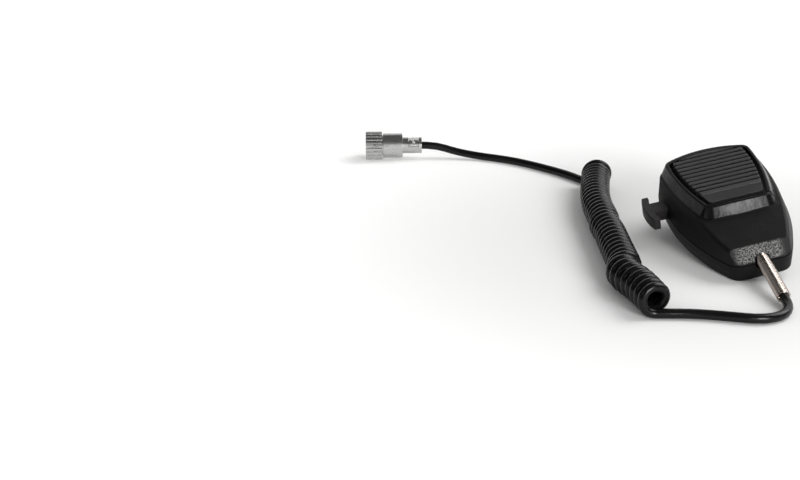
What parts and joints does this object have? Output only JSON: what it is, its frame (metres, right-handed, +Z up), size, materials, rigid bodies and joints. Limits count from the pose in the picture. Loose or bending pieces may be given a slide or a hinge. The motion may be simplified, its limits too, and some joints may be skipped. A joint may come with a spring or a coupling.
{
  "type": "hand microphone",
  "caption": "Palm-size hand microphone with a louvred grille, a press-to-talk bar on its left side and a hang-up button on its back, on a curly cord that ends in a round locking plug.",
  "frame": {"origin": "centre of the bounding box of the whole part on the surface it rests on", "axes": "+Y along the longer side of the layout, from the microphone's cord end towards its crown; +X to the right seen from the grille side; +Z up"},
  "size_m": [0.2155, 0.2973, 0.0499],
  "materials": {
    "case": "satin, finely grained",
    "grille": "satin",
    "felt": "matte",
    "button": "matte, finely grained",
    "bright_steel": "polished plate",
    "spring": "bright nickel plate",
    "screws": "zinc plate",
    "foam": "closed-cell foam",
    "capsule": "turned",
    "board": "lacquered laminate",
    "chips": "moulded",
    "plunger": "moulded",
    "clamp": "as moulded",
    "cord": "glossy jacket",
    "red_lead": "insulation",
    "white_lead": "insulation",
    "blue_lead": "insulation",
    "copper": "bare twisted copper",
    "plug_metal": "satin nickel plate",
    "plug_insulator": "moulded phenolic",
    "contacts": "bright plate"
  },
  "bodies": {
    "case": {"front_shell": "case", "back_shell": "case", "grille_insert": "grille", "grille_felt": "felt", "case_screws": "screws", "hang_up_button": "bright_steel", "button_screw": "bright_steel", "capsule_gasket": "foam", "microphone_capsule": "capsule", "capsule_strap": "bright_steel", "strap_screws": "screws", "circuit_board": "board", "board_screws": "screws", "board_chips": "chips", "board_capacitor": "chips", "capsule_leads": "bright_steel", "switch_body": "chips", "ptt_return_spring": "spring", "cable_clamp": "clamp", "clamp_screws": "screws", "strain_relief_collar": "spring", "strain_relief_spring": "spring", "cord_core": "cord", "lead_red": "red_lead", "lead_white": "white_lead", "lead_blue": "blue_lead", "lead_bare": "copper", "cord_lead": "cord", "cord_coil": "cord", "cord_tail": "cord", "plug_shell": "plug_metal", "plug_saddle": "plug_metal", "plug_screws": "screws", "plug_insert": "plug_insulator", "plug_contacts": "contacts"},
    "ptt": {"ptt_button": "button"},
    "plunger": {"switch_plunger": "plunger"},
    "ring": {"plug_ring": "plug_metal"}
  },
  "joints": [
    {"name": "ptt_press", "type": "slide", "parent": "case", "child": "ptt", "axis": [0.9785, -0.0242, 0.2048], "range_m": [0, 0.0025], "stiffness_N_per_m": 400, "springref_m": -0.004, "deforming": ["ptt_return_spring"]},
    {"name": "plunger_slide", "type": "slide", "parent": "case", "child": "plunger", "axis": [0.9785, -0.0242, 0.2048], "range_m": [0, 0.0025]},
    {"name": "plug_ring_spin", "type": "hinge", "parent": "case", "child": "ring", "pos_m": [-0.1399, 0.1851, 0.0094], "axis": [-0.995, 0.0995, 0], "continuous": true}
  ],
  "couplings": [
    {"joint": "plunger_slide", "follows": "ptt_press", "ratio": 1}
  ]
}
